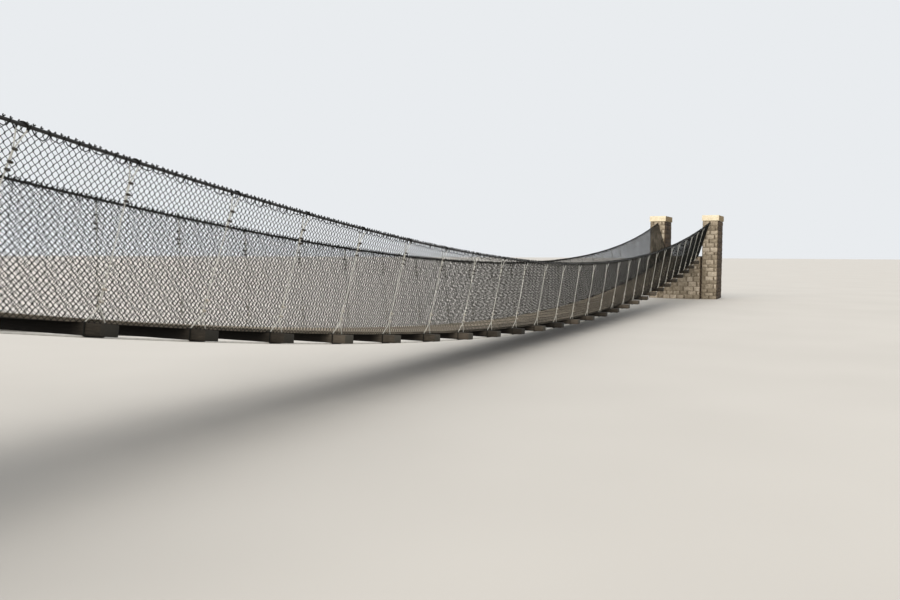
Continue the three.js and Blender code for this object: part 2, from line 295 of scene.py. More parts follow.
def weathered_pine(name, grain_axis, place, shade_mask, tint_weight, shades, end_shades):
    material, tree = new_material(name)
    tint = add(tree, ATTRIBUTE, attribute_name="tint").outputs["Fac"]
    shift = add(tree, "MULTIPLY", (tint, TINT_SHIFT))
    shift = add(tree, JOIN_XYZ, (shift, shift, shift))
    own = add(tree, VECTORS, (place(tree), shift), operation="ADD").outputs[0]

    def drawn_out(size_mm, length, detail):
        stretch = [length if axis == grain_axis else 1 for axis in "XYZ"]
        return blotches(tree, size_mm, detail, stretch, own)

    grain = drawn_out(GRAIN_MM, GRAIN_LENGTH, 4.0)
    checks = add(tree, RAMP, (drawn_out(CHECK_MM, CHECK_LENGTH, 2.0),), ((0.29, BLACK), (0.33, WHITE)))
    stain = add(tree, "MULTIPLY_ADD", (tint, tint_weight, 0.1 - tint_weight / 2))
    stain = add(tree, "MULTIPLY_ADD", (drawn_out(STAIN_MM, STAIN_LENGTH, 3.0), 0.3, stain))
    fibre = add(tree, "MULTIPLY_ADD", (grain, 0.5, stain))
    fibre = add(tree, RAMP, (fibre,), shades)
    fibre = add(tree, MIX, {0: 0.8, 6: fibre, 7: checks}, **MULTIPLIED).outputs[2]

    pith = add(tree, VECTORS, (shift, PITH_SHIFT, place(tree)), operation="MULTIPLY_ADD")
    rings = add(tree, "ShaderNodeTexWave", {
        "Vector": pith, "Scale": RING_SCALE, "Distortion": 3.0, "Detail": 2.0, "Detail Scale": 9.0},
        wave_type="RINGS", rings_direction=grain_axis)
    cut = add(tree, RAMP, (rings.outputs["Fac"],), end_shades)
    own_shade = add(tree, RAMP, (tint,), ((0.2, "#acacac"), (0.8, WHITE)))
    cut = add(tree, MIX, {0: 1.0, 6: cut, 7: own_shade}, **MULTIPLIED).outputs[2]
    direction = face_direction(tree)
    on_end = add(tree, "ABSOLUTE", (direction[grain_axis],))
    on_end = add(tree, "GREATER_THAN", (on_end, 0.8))
    colour = add(tree, MIX, {0: on_end, 6: fibre, 7: cut}, **MIXED).outputs[2]
    # Painted shade: where the mask is 1, the colour is mixed 88 % of the way to near-black.
    painted_shade = add(tree, "MULTIPLY", (shade_mask(tree, direction), 0.88))
    colour = add(tree, MIX, {0: painted_shade, 6: colour, 7: linear(PAINTED_SHADE_PINE)}, **MIXED).outputs[2]

    height = add(tree, "MULTIPLY", (grain, 0.4))
    height = add(tree, "MULTIPLY_ADD", (checks, 0.6, height))
    rough = add(tree, MAP_RANGE, {"Value": grain, "To Min": 0.95, "To Max": 0.78})
    return surface(material, colour, rough, height, PINE_RELIEF_MM, specular=0.25)


def local_place(tree):
    return add(tree, ATTRIBUTE, attribute_name="local").outputs["Vector"]


def object_place(tree):
    return add(tree, "ShaderNodeTexCoord").outputs["Object"]


def under_the_deck(tree, direction):
    """Painted shade mask: 1 on the stretch of a crossbeam that the deck covers, fading to 0 on its open
    ends.
    """
    across = add(tree, SPLIT_XYZ, (local_place(tree),)).outputs["Y"]
    across = add(tree, "ABSOLUTE", (across,))
    return add(tree, MAP_RANGE, {
        "Value": across, "From Min": DECK_COVERS, "From Max": DECK_CLEARS, "To Min": 1.0, "To Max": 0.0})


def below_and_beside(tree, direction):
    """Painted shade mask: 1 on the underside of a board, a quarter on its edges and 0 on its top."""
    turned = add(tree, MAP_RANGE, {"Value": direction["Z"], "From Min": 0.5, "From Max": -0.5})
    return add(tree, "POWER", (turned, 2.0))


pine_beam = weathered_pine("weathered_pine_beam", "Y", local_place, under_the_deck, 0.4,
                           ((0.3, "#1e1b17"), (0.5, "#302c26"), (0.7, "#504a42")),
                           ((0.0, "#302e29"), (1.0, "#4c4941")))
pine_board = weathered_pine("weathered_pine_board", "X", object_place, below_and_beside, 0.2,
                            ((0.3, "#59534a"), (0.5, "#898072"), (0.7, "#b6ab98")),
                            ((0.0, "#4e483d"), (1.0, "#786e5f")))
print("made", pine_beam.name, pine_board.name)

# %% [markdown]
# The pillars are fieldstone: split sandstone blocks from pale tan to brown, speckled with grit and lichen,
# in sandy lime mortar. Each block has a tint of its own. The cap is a paler sawn limestone slab. The flanks,
# the faces that look across the bridge, are darkened with painted shade, and the tops and the faces that
# look along the bridge are not.

# %% Materials: fieldstone, mortar and limestone
MOTTLE_MM, LICHEN_MM = 110, 45
GRIT_SHADE, LICHEN_SHADE = "#8b8070", "#a59f8a"
FLANK_FROM, FLANK_TO = 0.25, 0.55


def split_stone(name, shades, grit_mm, relief_mm, flank_painted_shade):
    material, tree = new_material(name)
    tint = add(tree, ATTRIBUTE, attribute_name="tint").outputs["Fac"]
    mottle = blotches(tree, MOTTLE_MM, 4.0)
    grit = blotches(tree, grit_mm, 5.0)
    shade = add(tree, "MULTIPLY_ADD", (tint, 0.35, 0.02))
    shade = add(tree, "MULTIPLY_ADD", (mottle, 0.55, shade))
    colour = add(tree, RAMP, (shade,), shades)
    speckle = add(tree, RAMP, (grit,), ((0.33, GRIT_SHADE), (0.47, WHITE)))
    colour = add(tree, MIX, {0: 0.75, 6: colour, 7: speckle}, **MULTIPLIED).outputs[2]
    lichen = add(tree, RAMP, (blotches(tree, LICHEN_MM, 6.0),), ((0.62, BLACK), (0.7, WHITE)))
    lichen = add(tree, "MULTIPLY", (lichen, 0.35))
    colour = add(tree, MIX, {0: lichen, 6: colour, 7: linear(LICHEN_SHADE)}, **MIXED).outputs[2]
    # Painted shade: faces turned across the bridge, to plus or minus Y, are multiplied by the flank colour.
    flank = add(tree, "ABSOLUTE", (face_direction(tree)["Y"],))
    flank = add(tree, MAP_RANGE, {"Value": flank, "From Min": FLANK_FROM, "From Max": FLANK_TO})
    painted_shade = add(tree, MIX, {0: 1.0, 6: colour, 7: linear(flank_painted_shade)}, **MULTIPLIED).outputs[2]
    colour = add(tree, MIX, {0: flank, 6: colour, 7: painted_shade}, **MIXED).outputs[2]
    height = add(tree, "MULTIPLY", (mottle, 0.6))
    height = add(tree, "MULTIPLY_ADD", (grit, 0.4, height))
    rough = add(tree, MAP_RANGE, {"Value": grit, "To Min": 0.95, "To Max": 0.8})
    return surface(material, colour, rough, height, relief_mm, specular=0.3)


# The last colour in each call below is the painted shade of the flanks.
SANDSTONE_SHADES = ((0.2, "#655d50"), (0.42, "#857c6d"), (0.6, "#a1988a"), (0.8, "#bdb5a8"))
fieldstone = split_stone("split_fieldstone", SANDSTONE_SHADES, 14, 14.0, "#7e6f60")
MORTAR_SHADES = ((0.2, "#7d7566"), (0.8, "#a39b8c"))
lime_mortar = split_stone("sandy_lime_mortar", MORTAR_SHADES, 5, 3.0, "#7e6f60")
LIMESTONE_SHADES = ((0.2, "#c6bda6"), (0.5, "#ddd4be"), (0.8, "#eee7d5"))
limestone = split_stone("sawn_limestone", LIMESTONE_SHADES, 9, 4.0, "#a39682")
print("made", fieldstone.name, lime_mortar.name, limestone.name)

# %% [markdown]
# Geometry Nodes make whatever repeats or follows a path. Each tree has named inputs, ends in Realize
# Instances and Set Material, and runs once on a carrier object. Its result is kept as a plain mesh, because
# an exported model has no modifiers. Counting the triangles after every piece keeps the whole under a
# million.

# %% Geometry Nodes helpers
triangles = {}


def new_tree(name, sockets):
    tree = bpy.data.node_groups.new(name, "GeometryNodeTree")
    for label, (kind, default) in sockets.items():
        socket = tree.interface.new_socket(name=label, in_out="INPUT", socket_type="NodeSocket" + kind)
        if default is not None:
            socket.default_value = default
    tree.interface.new_socket(name="Geometry", in_out="OUTPUT", socket_type="NodeSocketGeometry")
    return tree, add(tree, "NodeGroupInput").outputs


def close_tree(tree, geometry, given, smooth=True):
    real = add(tree, "GeometryNodeRealizeInstances", {"Geometry": geometry})
    shaded = add(tree, "GeometryNodeSetShadeSmooth", {"Geometry": real, "Shade Smooth": smooth})
    finish = add(tree, "GeometryNodeSetMaterial", {"Geometry": shaded, "Material": given["Material"]})
    add(tree, "NodeGroupOutput", {"Geometry": finish})
    return tree


def run_tree(tree, start, **values):
    """The plain mesh that a tree makes of a start mesh. Underscores in names stand for spaces."""
    carrier = bpy.data.objects.new("carrier", start)
    collection.objects.link(carrier)
    modifier = carrier.modifiers.new("tree", "NODES")
    modifier.node_group = tree
    for item in tree.interface.items_tree:
        value = values.get(item.name.replace(" ", "_"))
        if item.in_out == "INPUT" and value is not None:
            modifier[item.identifier] = value
    depsgraph = bpy.context.evaluated_depsgraph_get()
    made = bpy.data.meshes.new_from_object(carrier.evaluated_get(depsgraph),
                                           preserve_all_data_layers=True, depsgraph=depsgraph)
    carrier.modifiers.remove(modifier)
    bpy.data.objects.remove(carrier)
    return made


def piece(name, mesh, slot, *replaced):
    """Puts a finished mesh into the scene as a piece of the bridge."""
    mesh.name = name
    made = bpy.data.objects.new(name, mesh)
    collection.objects.link(made)
    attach(made, "root")
    if replaced:
        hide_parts(*replaced)
    triangles[name] = sum(len(face.vertices) - 2 for face in mesh.polygons)
    print(f"{name}: {triangles[name]} triangles")
    return made


print("Geometry Nodes helpers ready")

# %% [markdown]
# One tree sweeps every rope and wire on the bridge. It turns lines into curves, notes how far along each
# point is, and sweeps a circle whose points know their direction around it. The rope finish reads both. A
# sine and cosine are kept instead of an angle, because an angle would jump where the circle closes.

# %% Tree: sweep a rope
def sweep_tree():
    tree, given = new_tree("sweep a rope", {
        "Lines": ("Geometry", None), "Radius": ("Float", 0.005), "Sides": ("Int", 8),
        "Material": ("Material", None)})
    curve = add(tree, "GeometryNodeMeshToCurve", {"Mesh": given["Lines"]})
    length = add(tree, "GeometryNodeSplineParameter").outputs["Length"]
    measured = add(tree, "GeometryNodeStoreNamedAttribute",
                   {"Geometry": curve, "Name": "along", "Value": length}, data_type="FLOAT", domain="POINT")
    ring = add(tree, "GeometryNodeCurvePrimitiveCircle",
               {"Resolution": given["Sides"], "Radius": given["Radius"]})
    direction = add(tree, VECTORS, (add(tree, "GeometryNodeInputPosition"),), operation="NORMALIZE")
    profile = add(tree, "GeometryNodeStoreNamedAttribute",
                  {"Geometry": ring, "Name": "around", "Value": direction},
                  data_type="FLOAT_VECTOR", domain="POINT")
    tube = add(tree, "GeometryNodeCurveToMesh",
               {"Curve": measured, "Profile Curve": profile, "Fill Caps": True})
    return close_tree(tree, tube, given)


def path_mesh(paths):
    """A mesh of open lines, one for each path, for a tree to sweep."""
    places, lines = [], []
    for path in paths:
        first = len(places)
        places += path
        lines += [(i, i + 1) for i in range(first, len(places) - 1)]
    mesh = bpy.data.meshes.new("paths")
    mesh.from_pydata(places, lines, [])
    return mesh


SWEEP = sweep_tree()


def sweep(paths, radius, sides, finish=None):
    return run_tree(SWEEP, path_mesh(paths), Radius=radius, Sides=sides, Material=finish)


print("tree:", SWEEP.name, len(SWEEP.nodes), "nodes")

# %% [markdown]
# The handrail cables run from pillar to pillar in one length each. A polyline with a point every 15 cm is
# already within a tenth of a millimetre of the curve. The floor cables hang under the crossbeams, flat
# under each one and straight in between. All four run 5 cm on into the stonework, whose faces are uneven.

# %% Pieces: handrail cables and floor cables
CABLE_GAP = 0.0003
CABLE_STEP = 0.15
RAIL_SIDES, FLOOR_CABLE_SIDES = 12, 10
INTO_STONE = 0.05
BEAM_WIDTH, BEAM_HEIGHT, BEAM_LENGTH = 0.200, 0.110, 1.829
FLOOR_CABLE_Y, FLOOR_CABLE_RADIUS = 0.695, 0.010


def handrail_path(side):
    reach = HALF_SPAN + INTO_STONE
    steps = round(2 * reach / CABLE_STEP)
    return [rail_point(reach * (2 * i / steps - 1), side) for i in range(steps + 1)]


def floor_cable_path(side):
    y = side * FLOOR_CABLE_Y
    below = -BEAM_HEIGHT - FLOOR_CABLE_RADIUS - CABLE_GAP
    path = []
    for i in range(BEAM_COUNT):
        path += [beside_beam(beam_x(i), along, y, below) for along in (-BEAM_WIDTH / 2, BEAM_WIDTH / 2)]
    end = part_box("floor_cable_front")[1]
    run = end.x - path[-1].x
    last = path[-1].lerp(Vector((end.x, y, end.z - FLOOR_CABLE_RADIUS)), (run + INTO_STONE) / run)
    return [Vector((-last.x, y, last.z)), *path, last]


for side_name, side in SIDES.items():
    rope = sweep([handrail_path(side)], RAIL_RADIUS, RAIL_SIDES, bitumen_rope)
    piece(f"handrail_cable_{side_name}", rope, "black_cable", f"suspension_cable_{side_name}")
    rope = sweep([floor_cable_path(side)], FLOOR_CABLE_RADIUS, FLOOR_CABLE_SIDES, galvanised_floor_rope)
    piece(f"floor_rope_{side_name}", rope, "galvanised_rope", f"floor_cable_{side_name}")

# %% [markdown]
# A hanger is one wire rope. At the top it loops over the cable, comes back and is clamped to itself, so the
# loop looks like a narrow triangle from the side. At the bottom it meets a bridle: a second rope that runs
# down one face of the beam, under it and up the other. Three clips hold the top and two hold the fork.
# Where the rope rides on the cable and bears on the timber, a black sleeve covers it. The paths are worked
# out in Python, because each hanger has its own length and lean. Loops slip along the cable a little, and
# the first two in view on the camera's side have slipped 5 cm and 10 cm towards each other.

# %% Hanger paths
HANGER_FOOT_Y = 0.724
FORK_HEIGHT = 0.160
HANGER_RADIUS, HANGER_SIDES = 0.0055, 6
HANGER_BOW = 0.010
SLEEVE_RADIUS = 0.0075
LOOP_DROP, LOOP_SPREAD, LOOP_LEG = 0.185, 0.030, 0.03
TAIL = 0.190
ARC_STEPS = 6
LOOP_SLIP = 0.015
SLIPPED_LOOPS = {(1, -1): 0.05, (2, -1): -0.10}
SOLVE_ROUNDS = 6
SHORT_STEP = 0.01


def hanger_top_x(beam):
    """Where a hanger meets the cable: straight up from the deck where its beam first hung."""
    x = beam - BEAM_CREEP
    top = x
    for _ in range(SOLVE_ROUNDS):
        height = (sag(top, RAIL_LOW, RAIL_RISE) - deck_height(x)) / math.cos(deck_slope(x))
        top = x - height * math.sin(deck_slope(x))
    return top


def hanger_frame(index, side):
    """Fork, throat and cable points of a hanger, and the directions up it, along the cable and outwards."""
    x = beam_x(index)
    foot = beside_beam(x, 0, side * HANGER_FOOT_Y, 0)
    slip = random.Random(100 * index + side).uniform(-LOOP_SLIP, LOOP_SLIP)
    top_x = hanger_top_x(x) + SLIPPED_LOOPS.get((index, side), slip)
    top = rail_point(top_x, side)
    up = (top - foot).normalized()
    cable = (rail_point(top_x + SHORT_STEP, side) - rail_point(top_x - SHORT_STEP, side)).normalized()
    out = cable.cross(up).normalized()
    out *= side * math.copysign(1, out.y)
    return foot + up * FORK_HEIGHT, top - up * LOOP_DROP, top, up, cable, out


def loop_path(index, side):
    """The part of a hanger that goes up one side of the cable, over it and down the other."""
    top, _, cable, out = hanger_frame(index, side)[2:]
    rise = out.cross(cable)
    rise *= math.copysign(1, rise.z)
    reach = RAIL_RADIUS + SLEEVE_RADIUS
    path = [top + cable * LOOP_SPREAD + out * reach - rise * LOOP_LEG]
    for step in range(ARC_STEPS + 1):
        angle = math.pi * step / ARC_STEPS
        shift = LOOP_SPREAD * (1 - 2 * step / ARC_STEPS)
        path.append(top + cable * shift + (out * math.cos(angle) + rise * math.sin(angle)) * reach)
    return [*path, top - cable * LOOP_SPREAD - out * reach - rise * LOOP_LEG]


def hanger_path(index, side, draw):
    fork, throat, _, up, cable, out = hanger_frame(index, side)
    bow = (cable * draw.uniform(-1, 1) + out * draw.uniform(-0.3, 0.3)) * HANGER_BOW
    path = [fork.lerp(throat, t) + bow * math.sin(math.pi * t) for t in (0, 0.2, 0.4, 0.6, 0.8)]
    beside = out * 2 * HANGER_RADIUS
    path += [throat, *loop_path(index, side), throat - beside, throat - beside - up * TAIL]
    tail = [fork - beside * t + up * TAIL * t for t in (0, 0.15)]
    return [path, [*tail, fork - beside + up * TAIL]]


print("hanger paths ready")

# %% [markdown]
# A bridle is symmetrical, so its path is worked out for one half and mirrored for the other. The corners are
# rounded in short steps, because a sweep pinches at a sharp bend.

# %% Bridle paths
CORNER_EASE = 0.014
BRIDLE_SHOULDER = 0.004


def bridle_path(index, side):
    """The rope from the fork down round a beam and up again, with its corners rounded."""
    x = beam_x(index)
    y = side * HANGER_FOOT_Y
    fork = hanger_frame(index, side)[0]
    reach = BEAM_WIDTH / 2 + SLEEVE_RADIUS
    under = -BEAM_HEIGHT - SLEEVE_RADIUS
    half = [(reach - CORNER_EASE * 0.4, CORNER_EASE - BRIDLE_SHOULDER), (reach, -BRIDLE_SHOULDER),
            (reach, -BRIDLE_SHOULDER - CORNER_EASE), (reach, under + CORNER_EASE),
            (reach - CORNER_EASE * 0.3, under + CORNER_EASE * 0.3), (reach - CORNER_EASE, under)]
    whole = [*half, *[(-along, up) for along, up in reversed(half)]]
    return [fork, *[beside_beam(x, along, y, up) for along, up in whole], fork]


hanger_lengths = [(hanger_frame(i, -1)[2] - hanger_frame(i, -1)[0]).length for i in range(BEAM_COUNT)]
print("hangers from", round(min(hanger_lengths), 2), "to", round(max(hanger_lengths), 2), "m")

# %% [markdown]
# A rope clip is a saddle, a U-bolt and two nuts. It is built once, with its parts in their real places, and
# a tree sets copies of it out on points. Each point carries a turn. The same tree later sets out the
# screws, the crossbeams and the stones, so it can also scale, tint and roughen a copy.

# %% Tree: set out copies
def copies_tree():
    tree, given = new_tree("set out copies", {
        "Points": ("Geometry", None), "Copy": ("Object", None), "Wear": ("Float", 0.0),
        "Wear size": ("Float", 0.1), "Seed": ("Int", 1), "Material": ("Material", None)})
    turn = add(tree, "GeometryNodeInputNamedAttribute", {"Name": "turn"}, data_type="FLOAT_VECTOR")
    size = add(tree, "GeometryNodeInputNamedAttribute", {"Name": "size"}, data_type="FLOAT_VECTOR")
    shape = add(tree, "GeometryNodeObjectInfo", {"Object": given["Copy"]})
    copies = add(tree, "GeometryNodeInstanceOnPoints", {
        "Points": given["Points"], "Instance": shape.outputs["Geometry"],
        "Rotation": add(tree, "FunctionNodeEulerToRotation", {"Euler": turn}), "Scale": size})
    own = add(tree, "FunctionNodeRandomValue", {"Seed": given["Seed"]}, data_type="FLOAT")
    tinted = add(tree, "GeometryNodeStoreNamedAttribute",
                 {"Geometry": copies, "Name": "tint", "Value": own.outputs[1]},
                 data_type="FLOAT", domain="INSTANCE")
    real = add(tree, "GeometryNodeRealizeInstances", {"Geometry": tinted})
    waves = add(tree, "DIVIDE", (1.0, given["Wear size"]))
    noise = add(tree, NOISE, {
        "Vector": add(tree, "GeometryNodeInputPosition"), "Detail": 1.0, "Scale": waves})
    offset = add(tree, VECTORS, (noise.outputs["Color"], (0.5, 0.5, 0.5)), operation="SUBTRACT")
    offset = add(tree, VECTORS, {0: offset, "Scale": given["Wear"]}, operation="SCALE")
    worn = add(tree, "GeometryNodeSetPosition", {"Geometry": real, "Offset": offset})
    return close_tree(tree, worn, given)


COPIES = copies_tree()


def set_out(shape, places, finish, turns=None, sizes=None, **wear):
    """The mesh of a shape's copies at places, each with its turn and size, all roughened in one go."""
    spots = bpy.data.meshes.new("spots")
    spots.from_pydata(places, [], [])
    turns = turns or [(0, 0, 0)] * len(places)
    sizes = sizes or [(1, 1, 1)] * len(places)
    for label, values in {"turn": turns, "size": sizes}.items():
        layer = spots.attributes.new(label, "FLOAT_VECTOR", "POINT")
        layer.data.foreach_set("vector", [part for value in values for part in value])
    return run_tree(COPIES, spots, Copy=shape, Material=finish, **wear)


print("tree:", COPIES.name, len(COPIES.nodes), "nodes")

# %% [markdown]
# The shapes that are copied are small meshes made in code. They are kept out of the scene, so that only
# their copies count as pieces. A block has bevelled edges and a few cuts across it, which give the wear
# something to move. It also stores where each point is in the block, so that its grain follows the block.

# %% Shapes to copy
def shape(name, build):
    mesh = bpy.data.meshes.new(name)
    solid = bmesh.new()
    build(solid)
    bmesh.ops.recalc_face_normals(solid, faces=solid.faces)
    solid.to_mesh(mesh)
    solid.free()
    return bpy.data.objects.new(name, mesh)


def add_box(solid, size, centre=(0, 0, 0), bevel=0.0, cuts=(0, 0, 0)):
    made = bmesh.ops.create_cube(solid, size=1, matrix=Matrix.LocRotScale(centre, None, size))["verts"]
    if bevel:
        edges = list(dict.fromkeys(edge for vert in made for edge in vert.link_edges))
        bmesh.ops.bevel(solid, geom=edges, offset=bevel, segments=1, affect="EDGES")
    for axis, count in enumerate(cuts):
        for n in range(1, count + 1):
            place = Vector(centre)
            place[axis] += size[axis] * (n / (count + 1) - 0.5)
            normal = [0, 0, 0]
            normal[axis] = 1
            whole = [*solid.verts, *solid.edges, *solid.faces]
            bmesh.ops.bisect_plane(solid, geom=whole, plane_co=place, plane_no=normal)


def add_prism(solid, centre, radius, height, sides, turn=None):
    bmesh.ops.create_cone(solid, cap_ends=True, segments=sides, radius1=radius, radius2=radius,
                          depth=height, matrix=Matrix.LocRotScale(centre, turn, None))


def block(name, size, bevel, cuts):
    made = shape(name, lambda solid: add_box(solid, size, (0, 0, 0), bevel, cuts))
    places = [part for vert in made.data.vertices for part in vert.co]
    made.data.attributes.new("local", "FLOAT_VECTOR", "POINT").data.foreach_set("vector", places)
    return made


print("shape helpers ready")

# %% Shape: rope clip
BOLT_RADIUS, BOLT_SIDES, BOLT_END_Y = 0.0045, 4, 0.034
SADDLE_SIZE, SADDLE_BEVEL = (0.040, 0.013, 0.025), 0.004
NUT_RADIUS, NUT_SIDES, NUT_HEIGHT, NUT_Y = 0.0085, 6, 0.009, 0.0225


def clip_parts(solid):
    across = HANGER_RADIUS + BOLT_RADIUS
    add_box(solid, SADDLE_SIZE, (0, HANGER_RADIUS + SADDLE_SIZE[1] / 2, 0), SADDLE_BEVEL)
    for x in (-across, across):
        add_prism(solid, (x, NUT_Y, 0), NUT_RADIUS, NUT_HEIGHT, NUT_SIDES, Euler((math.pi / 2, 0, 0)))
    bend = [(across * math.cos(a), -2 * HANGER_RADIUS + across * math.sin(a), 0)
            for a in (math.pi * (1 + quarter / 4) for quarter in range(5))]
    bolt = [(-across, BOLT_END_Y, 0), *bend, (across, BOLT_END_Y, 0)]
    solid.from_mesh(sweep([bolt], BOLT_RADIUS, BOLT_SIDES))


rope_clip = shape("rope_clip", clip_parts)
print("rope clip:", len(rope_clip.data.polygons), "faces")

# %% Pieces: hangers and their clips
TOP_CLIPS = (0.005, 0.105, 0.165)
FORK_CLIPS = (0.040, 0.150)


def clip_places(index, side, at_top):
    """Where a hanger's upper or lower clips sit, each with its turn."""
    fork, throat, _, up, _, out = hanger_frame(index, side)
    turn = Matrix((out.cross(up), out, up)).transposed().to_euler()
    if at_top:
        return [(throat - up * drop, turn) for drop in TOP_CLIPS]
    return [(fork + up * rise, turn) for rise in FORK_CLIPS]


for side_name, side in SIDES.items():
    draw = random.Random(40 + side)
    paths = [path for i in range(BEAM_COUNT) for path in hanger_path(i, side, draw)]
    paths += [bridle_path(i, side) for i in range(BEAM_COUNT)]
    ropes = sweep(paths, HANGER_RADIUS, HANGER_SIDES, galvanised_hanger_rope)
    piece(f"hanger_ropes_{side_name}", ropes, "galvanised_rope", f"suspension_cable_{side_name}")
    sleeved = [loop_path(i, side) for i in range(BEAM_COUNT)]
    sleeved += [bridle_path(i, side)[1:-1] for i in range(BEAM_COUNT)]
    sleeves = sweep(sleeved, SLEEVE_RADIUS, HANGER_SIDES, vinyl_wire)
    piece(f"rope_sleeves_{side_name}", sleeves, "coated_wire")
    for label, at_top, finish in (("top", True, dark_clip), ("fork", False, bright_clip)):
        clips = [clip for i in range(BEAM_COUNT) for clip in clip_places(i, side, at_top)]
        made = set_out(rope_clip, [place for place, _ in clips], finish, [turn for _, turn in clips])
        piece(f"{label}_clips_{side_name}", made, "galvanised_rope")

# %% [markdown]
# Chain-link fabric is woven from upright zigzag wires. Each wire bends once in every half diamond and hooks
# round its neighbour there. Fabric of 1 3/4 inches has diamonds of about 60 mm, so a wire stands every 30
# mm and the height takes 45 bends. A grid of points is made first, one line for each wire, where X counts
# the wires and Z counts the bends. A formula then moves the grid onto the bridge, and every line is swept.
# Even and odd wires lie one wire's thickness apart, so that they hook without cutting through each other.
# The real wire is 5 mm thick, and is drawn bolder so that it shows.

# %% Tree: chain-link fabric
WIRE_RADIUS = 0.0043
WIRE_SIDES = 3
WIRE_PITCH = 0.0302
WIRE_HOOK = 0.0022
FABRIC_ROWS = 45
FABRIC_FOOT_Y = 0.675
FABRIC_INSET = RAIL_RADIUS + 0.0075
FABRIC_OVER_RAIL = 0.008
SLACK = (0.012, 0.022, 0.008)
SLACK_WAVES_PER_METRE = 1.3
KNUCKLE_LEAN_FROM, KNUCKLE_LEAN_TO = (-0.25, 0.35, -0.7), (0.25, 0.95, 0.7)


def sag_group():
    """Low + rise * (x / half span) squared, as a group that the fabric uses three times."""
    tree = bpy.data.node_groups.new("sag curve", "GeometryNodeTree")
    for label in ("X", "Low", "Rise"):
        tree.interface.new_socket(name=label, in_out="INPUT", socket_type="NodeSocketFloat")
    tree.interface.new_socket(name="Value", in_out="OUTPUT", socket_type="NodeSocketFloat")
    given = add(tree, "NodeGroupInput").outputs
    share = add(tree, "DIVIDE", (given["X"], HALF_SPAN))
    squared = add(tree, "MULTIPLY", (share, share))
    value = add(tree, "MULTIPLY_ADD", (squared, given["Rise"], given["Low"]))
    add(tree, "NodeGroupOutput", {"Value": value})
    return tree


def fabric_grid(tree, given):
    """One upright line of points for each wire, in counts of wires and bends."""
    rows = add(tree, "ADD", (given["Rows"], 1.0))
    bends = add(tree, "GeometryNodeMeshLine", {"Count": rows, "Offset": (0, 0, 1)}, mode="OFFSET")
    start = add(tree, JOIN_XYZ, (given["First wire"],))
    wires = add(tree, "GeometryNodeMeshLine",
                {"Count": given["Wires"], "Start Location": start, "Offset": (1, 0, 0)}, mode="OFFSET")
    lines = add(tree, "GeometryNodeInstanceOnPoints", {"Points": wires, "Instance": bends})
    return add(tree, "GeometryNodeRealizeInstances", {"Geometry": lines})


def on_the_bridge(tree, given, wire, row, right):
    """Where a bend belongs, from its counts and whether it turns right, with the fabric's slack."""
    bend = add(tree, "MULTIPLY_ADD", (right, 2.0, -1.0))
    hook = add(tree, "MULTIPLY", (bend, given["Hook"]))
    x = add(tree, "ADD", (wire, right))
    x = add(tree, "MULTIPLY_ADD", (x, given["Pitch"], hook))
    foot, rail, rail_out = (
        add(tree, "GeometryNodeGroup", {"X": x, "Low": low, "Rise": rise}, node_tree=SAG_CURVE)
        for low, rise in ((DECK_LOW, DECK_RISE), (RAIL_LOW, RAIL_RISE),
                          (RAIL_OUT - FABRIC_INSET - FABRIC_FOOT_Y, RAIL_SPREAD)))

    clear = add(tree, "SUBTRACT", (rail, foot))
    share = add(tree, "DIVIDE", (row, given["Rows"]))
    up = add(tree, "ADD", (clear, FABRIC_OVER_RAIL))
    up = add(tree, "MULTIPLY", (up, share))
    z = add(tree, "ADD", (foot, up))
    odd = add(tree, "FLOORED_MODULO", (wire, 2.0))
    layer = add(tree, "MULTIPLY_ADD", (odd, 2.0, -1.0))
    layer = add(tree, "MULTIPLY", (layer, given["Wire radius"]))
    lean = add(tree, "DIVIDE", (up, clear))
    out = add(tree, "MULTIPLY_ADD", (rail_out, lean, FABRIC_FOOT_Y))
    out = add(tree, "ADD", (out, layer))
    y = add(tree, "MULTIPLY", (out, given["Side"]))
    woven = add(tree, JOIN_XYZ, (x, y, z))

    waves = add(tree, NOISE, {"Vector": woven, "Scale": SLACK_WAVES_PER_METRE, "Detail": 1.0})
    slack = add(tree, VECTORS, (waves.outputs["Color"], (0.5, 0.5, 0.5)), operation="SUBTRACT")
    slack = add(tree, VECTORS, (slack, SLACK), operation="MULTIPLY")
    belly = add(tree, "MULTIPLY", (share, math.pi))
    belly = add(tree, "SINE", (belly,))
    slack = add(tree, VECTORS, {0: slack, "Scale": belly}, operation="SCALE")
    return add(tree, VECTORS, (woven, slack), operation="ADD")


